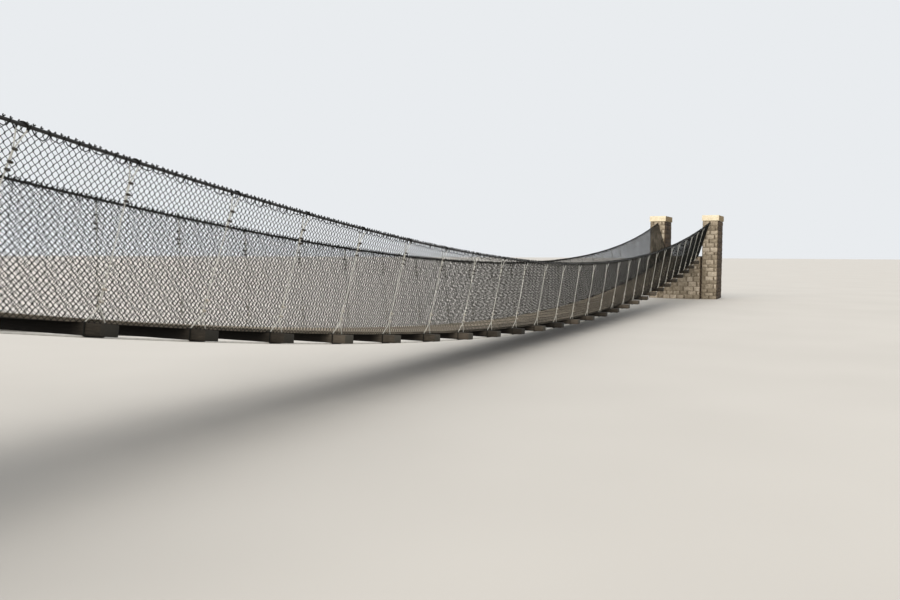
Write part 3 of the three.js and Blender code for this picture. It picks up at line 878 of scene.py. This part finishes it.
def fabric_tree():
    tree, given = new_tree("chain-link fabric", {
        "First wire": ("Int", 0), "Wires": ("Int", 10), "Rows": ("Int", FABRIC_ROWS),
        "Pitch": ("Float", WIRE_PITCH), "Side": ("Float", 1.0), "Wire radius": ("Float", WIRE_RADIUS),
        "Hook": ("Float", WIRE_HOOK), "Knuckle": ("Object", None), "Seed": ("Int", 1),
        "Material": ("Material", None)})
    place = add(tree, SPLIT_XYZ, (add(tree, "GeometryNodeInputPosition"),)).outputs
    right = add(tree, "ADD", (place["X"], place["Z"]))
    right = add(tree, "FLOORED_MODULO", (right, 2.0))
    crown = add(tree, "COMPARE", (place["Z"], given["Rows"], 0.1))
    crown = add(tree, "MULTIPLY", (right, crown))
    noted = add(tree, "GeometryNodeCaptureAttribute", domain="POINT")
    noted.capture_items.new("FLOAT", "crown")
    tree.links.new(fabric_grid(tree, given).outputs[0], noted.inputs["Geometry"])
    tree.links.new(crown.outputs[0], noted.inputs["crown"])
    shaped = add(tree, "GeometryNodeSetPosition", {
        "Geometry": noted.outputs["Geometry"],
        "Position": on_the_bridge(tree, given, place["X"], place["Z"], right)})

    swept = add(tree, "GeometryNodeCurveToMesh", {
        "Curve": add(tree, "GeometryNodeMeshToCurve", {"Mesh": shaped}),
        "Profile Curve": add(tree, "GeometryNodeCurvePrimitiveCircle",
                             {"Resolution": WIRE_SIDES, "Radius": given["Wire radius"]}),
        "Fill Caps": True})
    tips = add(tree, "GeometryNodeObjectInfo", {"Object": given["Knuckle"]})
    lean = add(tree, "FunctionNodeRandomValue",
               {0: KNUCKLE_LEAN_FROM, 1: KNUCKLE_LEAN_TO, "Seed": given["Seed"]}, data_type="FLOAT_VECTOR")
    knuckles = add(tree, "GeometryNodeInstanceOnPoints", {
        "Points": shaped, "Selection": noted.outputs["crown"], "Instance": tips.outputs["Geometry"],
        "Rotation": add(tree, "FunctionNodeEulerToRotation", {"Euler": lean.outputs[0]})})
    both = add(tree, "GeometryNodeJoinGeometry")
    for part in (swept, knuckles):
        tree.links.new(part.outputs[0], both.inputs[0])
    return close_tree(tree, both, given)


SAG_CURVE = sag_group()
FABRIC = fabric_tree()
print("tree:", FABRIC.name, len(FABRIC.nodes), "nodes")

# %% [markdown]
# Along the top edge the wire ends are twisted together in pairs and cut off, which leaves a row of short
# knuckles over the cable, one for each diamond. All of them lean the same way, because the fabric came off
# a roll. A pair is made once, as two helices whose tips part, and the tree sets it on the crowns.

# %% Pieces: chain-link sides
FABRIC_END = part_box("mesh_front_right")[1].x
WIRES_PER_HALF = int(FABRIC_END / WIRE_PITCH)
KNUCKLE_RADIUS = 0.0056
KNUCKLE_TURNS = 1.1
KNUCKLE_HEIGHT = 0.034
KNUCKLE_FOOT = -0.004
KNUCKLE_STEPS = 5
TIPS_PART_AT = 0.7
TIPS_SPREAD = 0.014


def twisted_pair(solid):
    paths = [[], []]
    for half_turn, path in enumerate(paths):
        for share in (step / KNUCKLE_STEPS for step in range(KNUCKLE_STEPS + 1)):
            angle = math.pi * (half_turn + 2 * KNUCKLE_TURNS * share)
            reach = KNUCKLE_RADIUS + TIPS_SPREAD * max(0.0, share - TIPS_PART_AT)
            path.append((reach * math.cos(angle), reach * math.sin(angle),
                         KNUCKLE_FOOT + KNUCKLE_HEIGHT * share))
    solid.from_mesh(sweep(paths, KNUCKLE_RADIUS, WIRE_SIDES))


knuckle = shape("knuckle", twisted_pair)
for side_name, side in SIDES.items():
    for end_name, end in ENDS.items():
        fabric = run_tree(FABRIC, bpy.data.meshes.new("none"), First_wire=0 if end > 0 else -WIRES_PER_HALF,
                          Wires=WIRES_PER_HALF, Side=float(side), Knuckle=knuckle, Seed=7 * side + end,
                          Material=vinyl_wire)
        piece(f"chain_link_{side_name}_{end_name}", fabric, "coated_wire", f"mesh_{side_name}_{end_name}")

# %% [markdown]
# A black lacing wire ties the fabric to the handrail cable in a long spiral. It goes over the cable, down
# on the inside, out through one of the top diamonds and up again, which makes the cable look thick and
# ragged. No two turns are alike, as in all handwork. A flat bar is woven through the last diamonds at each
# end, and shows in the photograph as a dark line in front of the pillar.

# %% Pieces: lacing and end bars
LACE_RADIUS, LACE_SIDES = 0.0048, 4
LACE_PITCH = (0.09, 0.17)
LACE_DIP = (0.015, 0.060)
LACE_IN, LACE_OUT = 0.014, 0.016
BAR_RADIUS, BAR_SIDES = 0.009, 4
BAR_INSET = 0.012
BAR_LIFT = 0.004


def lace_turn(dip):
    """One turn: how far along its pitch each point is, how far out from the cable and how high."""
    reach = RAIL_RADIUS + LACE_RADIUS
    over = [(0.2 * share, reach * math.cos(math.pi * share), reach * math.sin(math.pi * share))
            for share in (0, 0.25, 0.5, 0.75, 1)]
    inside = (0.45, -FABRIC_INSET - LACE_IN, -RAIL_RADIUS - 0.5 * dip)
    through = (0.78, -FABRIC_INSET, -RAIL_RADIUS - dip)
    outside = (0.92, -FABRIC_INSET + LACE_OUT, -RAIL_RADIUS - 0.6 * dip)
    return [*over, inside, through, outside]


def lacing_path(side, draw):
    path = []
    x = -FABRIC_END + LACE_PITCH[1]
    while x < FABRIC_END - LACE_PITCH[1]:
        pitch = draw.uniform(*LACE_PITCH)
        for share, out, up in lace_turn(draw.uniform(*LACE_DIP)):
            path.append(rail_point(x + pitch * share, side) + Vector((0, side * out, up)))
        x += pitch
    return path


def end_bar_path(side, end):
    x = end * (FABRIC_END - BAR_INSET)
    top = rail_point(x, side)
    top.y -= side * FABRIC_INSET
    return [Vector((x, side * FABRIC_FOOT_Y, deck_height(x) + BAR_LIFT)), top]


for side_name, side in SIDES.items():
    lace = sweep([lacing_path(side, random.Random(5 + side))], LACE_RADIUS, LACE_SIDES, vinyl_wire)
    piece(f"lacing_wire_{side_name}", lace, "coated_wire")
bars = [end_bar_path(side, end) for side in SIDES.values() for end in ENDS.values()]
piece("mesh_end_bars", sweep(bars, BAR_RADIUS, BAR_SIDES, vinyl_wire), "coated_wire")

# %% [markdown]
# The crossbeams are treated pine, 110 by 200 mm. A beam is a bevelled block with cuts every few
# centimetres. The copies tree turns each one square to the deck there, and roughens it, so that no edge is
# quite straight.

# %% Piece: crossbeams
BEAM_BEVEL, BEAM_CUTS = 0.007, (2, 15, 1)
BEAM_WEAR, BEAM_WEAR_SIZE = 0.006, 0.11
TINT_SEED = 364

beam_shape = block("beam", (BEAM_WIDTH, BEAM_LENGTH, BEAM_HEIGHT), BEAM_BEVEL, BEAM_CUTS)
beams = [beam_x(i) for i in range(BEAM_COUNT)]
beam_mesh = set_out(beam_shape, [beside_beam(x, 0, 0, -BEAM_HEIGHT / 2) for x in beams], pine_beam,
                    [(0, -deck_slope(x), 0) for x in beams],
                    Wear=BEAM_WEAR, Wear_size=BEAM_WEAR_SIZE, Seed=TINT_SEED)
piece("crossbeams", beam_mesh, "beam_timber", *BEAM_NAMES)

# %% [markdown]
# The walkway is seven lengthwise boards, four bays long. Their joints lie over beams and are staggered, so
# a bend in one board is held by its neighbours. A board is a rounded rectangle swept along the deck's
# curve. Each gets a tint, and a curve normal that points up keeps it flat.

# %% Tree: sweep a board
BOARD_ROWS = 7
BOARD_GAP = 0.006
DECK_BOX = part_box("deck_right")
BOARD_THICKNESS = 0.038
BOARD_ROUNDING = 0.004
BOARD_WIDTH = (2 * DECK_BOX[1].y - (BOARD_ROWS - 1) * BOARD_GAP) / BOARD_ROWS


def board_tree():
    tree, given = new_tree("sweep a board", {
        "Lines": ("Geometry", None), "Width": ("Float", BOARD_WIDTH),
        "Thickness": ("Float", BOARD_THICKNESS), "Rounding": ("Float", BOARD_ROUNDING),
        "Seed": ("Int", 2), "Material": ("Material", None)})
    curve = add(tree, "GeometryNodeMeshToCurve", {"Mesh": given["Lines"]})
    level = add(tree, "GeometryNodeSetCurveNormal", {"Curve": curve}, mode="Z_UP")
    board = add(tree, "GeometryNodeCurveOfPoint").outputs["Curve Index"]
    own = add(tree, "FunctionNodeRandomValue", {"ID": board, "Seed": given["Seed"]}, data_type="FLOAT")
    tinted = add(tree, "GeometryNodeStoreNamedAttribute",
                 {"Geometry": level, "Name": "tint", "Value": own.outputs[1]},
                 data_type="FLOAT", domain="POINT")
    outline = add(tree, "GeometryNodeCurvePrimitiveQuadrilateral",
                  {"Width": given["Width"], "Height": given["Thickness"]})
    rounded = add(tree, "GeometryNodeFilletCurve",
                  {"Curve": outline, "Count": 1, "Radius": given["Rounding"]}, mode="POLY")
    planks = add(tree, "GeometryNodeCurveToMesh",
                 {"Curve": tinted, "Profile Curve": rounded, "Fill Caps": True})
    return close_tree(tree, planks, given, smooth=False)


BOARDS = board_tree()
print("board width", round(BOARD_WIDTH, 4))

# %% Piece: deck boards
DECK_END = DECK_BOX[1].x
BAYS_PER_BOARD = 4
ROW_STARTS = (0, 2, 1, 3, 0, 2, 1)
BOARD_STEP = BAY / 2
JOINT_GAP = 0.003
BOARD_SETTLES = 0.0015
CLEAR_OF_ENDS = 0.1


def board_joints(row):
    """Where a row's boards end: at both ends of the deck, and over every fourth beam."""
    over = [beam_x(i) for i in range(ROW_STARTS[row], BEAM_COUNT, BAYS_PER_BOARD)]
    over = [x for x in over if abs(x) < DECK_END - 2 * BAY]
    return [-DECK_END, *over, DECK_END]


def board_y(row):
    return (row - (BOARD_ROWS - 1) / 2) * (BOARD_WIDTH + BOARD_GAP)


def deck_point(x, y, up):
    return Vector((x, y, deck_height(min(abs(x), ABUTMENT_FACE)) + up))


def board_path(start, end, row, draw):
    first = start + (JOINT_GAP / 2 if start > -DECK_END else 0)
    last = end - (JOINT_GAP / 2 if end < DECK_END else 0)
    steps = max(2, round((last - first) / BOARD_STEP))
    stops = {first + (last - first) * i / steps for i in range(steps + 1)}
    bends = (-ABUTMENT_FACE, ABUTMENT_FACE)
    stops |= {x for x in bends if first + CLEAR_OF_ENDS < x < last - CLEAR_OF_ENDS}
    lift = BOARD_THICKNESS / 2 + CABLE_GAP + draw.uniform(-BOARD_SETTLES, 0)
    return [deck_point(x, board_y(row), lift) for x in sorted(stops)]


draw = random.Random(11)
paths = []
for row in range(BOARD_ROWS):
    joints = board_joints(row)
    paths += [board_path(a, b, row, draw) for a, b in zip(joints, joints[1:])]
deck_mesh = run_tree(BOARDS, path_mesh(paths), Seed=4, Material=pine_board)
piece("deck_boards", deck_mesh, "deck_timber", "deck_left", "deck_right")

# %% [markdown]
# Two screws hold each board on each beam, or two on either side of a joint. Their heads stand a little
# proud, and none is quite in line, because they were driven by eye.

# %% Piece: deck screws
SCREW_INSET = 0.045
SCREW_RADIUS, SCREW_HEIGHT = 0.0055, 0.003
SCREW_FROM_JOINT = 0.022
SCREW_STRAYS = 0.006
JOINT_ON_BEAM = 0.01


def screw_spots(row, draw):
    joints = board_joints(row)
    spots = []
    for beam in beams:
        at_joint = min(abs(beam - joint) for joint in joints) < JOINT_ON_BEAM
        for x in (beam - SCREW_FROM_JOINT, beam + SCREW_FROM_JOINT) if at_joint else (beam,):
            for across in (-1, 1):
                y = board_y(row) + across * (BOARD_WIDTH / 2 - SCREW_INSET)
                y += draw.uniform(-SCREW_STRAYS, SCREW_STRAYS)
                spots.append((x + draw.uniform(-SCREW_STRAYS, SCREW_STRAYS), y))
    return spots


screw_head = shape("screw_head", lambda solid: add_prism(solid, (0, 0, 0), SCREW_RADIUS, SCREW_HEIGHT, 8))
screws = [spot for row in range(BOARD_ROWS) for spot in screw_spots(row, draw)]
screw_mesh = set_out(screw_head, [deck_point(x, y, BOARD_THICKNESS) for x, y in screws], zinc_screw,
                     [(0, -deck_slope(x), 0) for x, _ in screws])
piece("deck_screws", screw_mesh, "galvanised_rope")

# %% [markdown]
# Fieldstone is laid in courses: long stones on one face of a corner, then on the other, so that the corners
# are bonded. The layout is worked out here, stone by stone, and the copies tree sets one roughened block to
# each stone's size. A plain core, a finger's breadth behind the faces, is the mortar in the joints.

# %% Stone layout
STONE_DEPTH = 0.15
STONE_JOINT = 0.012
STONE_SET_BACK = (0.003, 0.010)
COURSE_HEIGHTS = (0.13, 0.24)
STONE_LENGTHS = (0.24, 0.48)
STONE_BEVEL = 0.09
FULL_HEIGHT_WITHIN = 0.01


def split_run(start, end, draw):
    """Cuts a run into stones of uneven length, with no sliver at the end."""
    cuts = [start]
    while end - cuts[-1] > STONE_LENGTHS[1]:
        length = draw.uniform(*STONE_LENGTHS)
        left = end - cuts[-1] - length
        cuts.append(cuts[-1] + (length if left > STONE_LENGTHS[0] else (end - cuts[-1]) / 2))
    return list(zip(cuts, [*cuts[1:], end]))


def lay_stones(low, high, draw, hidden):
    """Centres and sizes of the stones on the four sides of a box."""
    stones = []
    bottom, course = low.z, 0
    while high.z - bottom > FULL_HEIGHT_WITHIN:
        height = draw.uniform(*COURSE_HEIGHTS)
        if high.z - bottom - height < COURSE_HEIGHTS[0]:
            height = high.z - bottom if high.z - bottom < COURSE_HEIGHTS[1] else (high.z - bottom) / 2
        for axis in (0, 1):
            across = 1 - axis
            tuck = STONE_DEPTH if course % 2 == axis else 0
            for face, inward in ((low[across], 1), (high[across], -1)):
                for a, b in split_run(low[axis] + tuck, high[axis] - tuck, draw):
                    centre = Vector((0, 0, bottom + height / 2))
                    centre[axis] = (a + b) / 2
                    centre[across] = face + inward * (STONE_DEPTH / 2 + draw.uniform(*STONE_SET_BACK))
                    size = Vector((0, 0, height - STONE_JOINT))
                    size[axis] = b - a - STONE_JOINT
                    size[across] = STONE_DEPTH
                    if not hidden(centre, across):
                        stones.append((centre, size))
        bottom += height
        course += 1
    return stones


stone_shape = block("stone", (1, 1, 1), STONE_BEVEL, (1, 1, 1))
print("stone:", len(stone_shape.data.polygons), "faces")

# %% [markdown]
# The four pillars and the two abutments between them are laid the same way. Hidden stones are left out:
# those of the pillars that an abutment covers, and those of the abutments that the pillars cover.

# %% Pieces: pillars and abutments
MORTAR_INSET = 0.016
STONE_WEAR, STONE_WEAR_SIZE = 0.022, 0.09
UNDER_ABUTMENT_TOP = 0.05
BEHIND_PILLAR_FACE = 0.1


def masonry(name, draw, hidden, seed):
    low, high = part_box(name)
    stones = lay_stones(low, high, draw, hidden)
    mesh = set_out(stone_shape, [centre for centre, _ in stones], fieldstone,
                   sizes=[size for _, size in stones],
                   Wear=STONE_WEAR, Wear_size=STONE_WEAR_SIZE, Seed=seed)
    solid = bmesh.new()
    solid.from_mesh(mesh)
    inset = Vector((MORTAR_INSET, MORTAR_INSET, 0))
    count = len(solid.faces)
    add_box(solid, high - low - 2 * inset, (low + high) / 2)
    solid.faces.ensure_lookup_table()
    for face in solid.faces[count:]:
        face.material_index = 1
        face.smooth = False
    for vert in solid.verts:
        vert.co = [min(max(part, a), b) for part, a, b in zip(vert.co, low, high)]
    solid.to_mesh(mesh)
    solid.free()
    mesh.materials.append(lime_mortar)
    piece(f"{name}_stonework", mesh, "pillar_stone", name)


for number, (end_name, end) in enumerate(ENDS.items()):
    covered_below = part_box(f"abutment_{end_name}")[1].z - UNDER_ABUTMENT_TOP

    def beside_abutment(centre, across, inner):
        return across == 1 and abs(centre.y) < inner and centre.z < covered_below

    def between_pillars(centre, across):
        return across == 1 and abs(centre.x) > HALF_SPAN + BEHIND_PILLAR_FACE

    for side_name, side in SIDES.items():
        name = f"pillar_{end_name}_{side_name}"
        low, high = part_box(name)
        middle = abs(low.y + high.y) / 2
        masonry(name, random.Random(20 + 2 * number + side), lambda c, a: beside_abutment(c, a, middle),
                30 + 2 * number + side)
    masonry(f"abutment_{end_name}", random.Random(60 + number), between_pillars, 50 + number)

# %% [markdown]
# Each pillar is closed by one sawn limestone slab, whose edges have been chipped. A finely divided box is
# worn by noise, always inwards so that it keeps its size, and most where a point's normal is slanted, which
# is on its edges and corners.

# %% Pieces: cap slabs
CAP_CELL = 0.045
CAP_CHIP, CAP_DRESS = 0.06, 0.006
CAP_WAVES_PER_METRE = 9.0


def cap_tree():
    tree, given = new_tree("chipped slab", {
        "Size": ("Vector", (1, 1, 1)), "Centre": ("Vector", (0, 0, 0)), "Columns": ("Int", 30),
        "Ranks": ("Int", 15), "Layers": ("Int", 5), "Chip": ("Float", CAP_CHIP),
        "Dress": ("Float", CAP_DRESS), "Material": ("Material", None)})
    slab = add(tree, "GeometryNodeMeshCube", {
        "Size": given["Size"], "Vertices X": given["Columns"], "Vertices Y": given["Ranks"],
        "Vertices Z": given["Layers"]})
    placed = add(tree, "GeometryNodeTransform", {"Geometry": slab, "Translation": given["Centre"]})
    normal = add(tree, "GeometryNodeInputNormal")
    direction = add(tree, SPLIT_XYZ, (add(tree, VECTORS, (normal,), operation="ABSOLUTE"),)).outputs
    flat = add(tree, "MAXIMUM", (direction["X"], direction["Y"]))
    flat = add(tree, "MAXIMUM", (flat, direction["Z"]))
    edge = add(tree, "SUBTRACT", (1.0, flat))
    rough = add(tree, NOISE, {
        "Vector": add(tree, "GeometryNodeInputPosition"), "Scale": CAP_WAVES_PER_METRE, "Detail": 2.0})
    depth = add(tree, "MULTIPLY_ADD", (edge, given["Chip"], given["Dress"]))
    depth = add(tree, "MULTIPLY", (depth, rough.outputs["Fac"]))
    inward = add(tree, "MULTIPLY", (depth, -1.0))
    offset = add(tree, VECTORS, {0: normal, "Scale": inward}, operation="SCALE")
    chipped = add(tree, "GeometryNodeSetPosition", {"Geometry": placed, "Offset": offset})
    return close_tree(tree, chipped, given, smooth=False)


CAP = cap_tree()
for end_name in ENDS:
    for side_name in SIDES:
        name = f"cap_{end_name}_{side_name}"
        low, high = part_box(name)
        cells = [max(2, round(length / CAP_CELL)) for length in high - low]
        slab = run_tree(CAP, bpy.data.meshes.new("none"), Size=high - low, Centre=(low + high) / 2,
                        Columns=cells[0], Ranks=cells[1], Layers=cells[2], Material=limestone)
        piece(f"{name}_slab", slab, "cap_stone", name)

print("all pieces:", sum(triangles.values()), "triangles")

# %% [markdown]
# The stage is plain: a wide pale floor at the height where the bridge stands, a pale surround, and a large
# soft lamp high on the left, so that faces turned to the near end are light and those turned away are
# darker. The standard view keeps thin dark wires dark in front of a light surround, as they are in the
# photograph.

# %% Stage and light
FLOOR_RADIUS = 400.0
FLOOR_CLOUDS_MM = 3000
SURROUND_SHADE, SURROUND_STRENGTH = "#e9ecef", 1.0
LAMP_SHADE, LAMP_STRENGTH, LAMP_SPREAD = "#fff3e2", 4.0, math.radians(70)
LAMP_AIM = Vector((0.86, 0.06, -0.50))
bpy.context.scene.view_settings.view_transform = "Standard"


def pale_floor():
    material, tree = new_material("pale_studio_floor")
    cloud = blotches(tree, FLOOR_CLOUDS_MM, 1.0)
    colour = add(tree, RAMP, (cloud,), ((0.3, "#b8b6b2"), (0.7, "#bcbab6")))
    return surface(material, colour, 0.9, cloud, 0.5)


floor_mesh = bpy.data.meshes.new("studio_floor")
floor_solid = bmesh.new()
bmesh.ops.create_circle(floor_solid, cap_ends=True, segments=64, radius=FLOOR_RADIUS)
floor_solid.to_mesh(floor_mesh)
floor_solid.free()
floor_mesh.materials.append(pale_floor())
floor = bpy.data.objects.new("studio_floor", floor_mesh)
collection.objects.link(floor)

world = bpy.data.worlds.new("pale_surround")
world.use_nodes = True
surround = world.node_tree.nodes["Background"].inputs
surround["Color"].default_value = linear(SURROUND_SHADE)
surround["Strength"].default_value = SURROUND_STRENGTH
bpy.context.scene.world = world

key = bpy.data.objects.new("key_lamp", bpy.data.lights.new("key_lamp", "SUN"))
key.data.energy = LAMP_STRENGTH
key.data.angle = LAMP_SPREAD
key.data.color = linear(LAMP_SHADE)[:3]
key.rotation_euler = LAMP_AIM.to_track_quat("-Z", "Y").to_euler()
collection.objects.link(key)
print("stage ready")

# %% [markdown]
# The camera stands beside the near end of the bridge, at eye height. Its place and focal length come from
# fitting about 130 points of the bridge in the photograph.

# %% Camera
EYE = Vector((-18.8246, -6.5502, 2.00))
YAW, PITCH, ROLL = math.radians(26.63), math.radians(-3.40), math.radians(0.24)
FOCAL_PIXELS = 786.37
PHOTO_WIDTH = 900
SENSOR_WIDTH = 36.0
FARTHEST_SEEN = 1000

forward = Vector((math.cos(YAW) * math.cos(PITCH), math.sin(YAW) * math.cos(PITCH), math.sin(PITCH)))
level_right = Vector((math.sin(YAW), -math.cos(YAW), 0))
level_up = level_right.cross(forward)
right = level_right * math.cos(ROLL) + level_up * math.sin(ROLL)
upward = level_up * math.cos(ROLL) - level_right * math.sin(ROLL)
camera = bpy.data.objects.new("camera", bpy.data.cameras.new("camera"))
camera.data.sensor_width = SENSOR_WIDTH
camera.data.lens = FOCAL_PIXELS / PHOTO_WIDTH * SENSOR_WIDTH
camera.data.clip_end = FARTHEST_SEEN
camera.matrix_world = Matrix.Translation(EYE) @ Matrix((right, upward, -forward)).transposed().to_4x4()
collection.objects.link(camera)
bpy.context.scene.camera = camera
print("lens", round(camera.data.lens, 3), "mm")
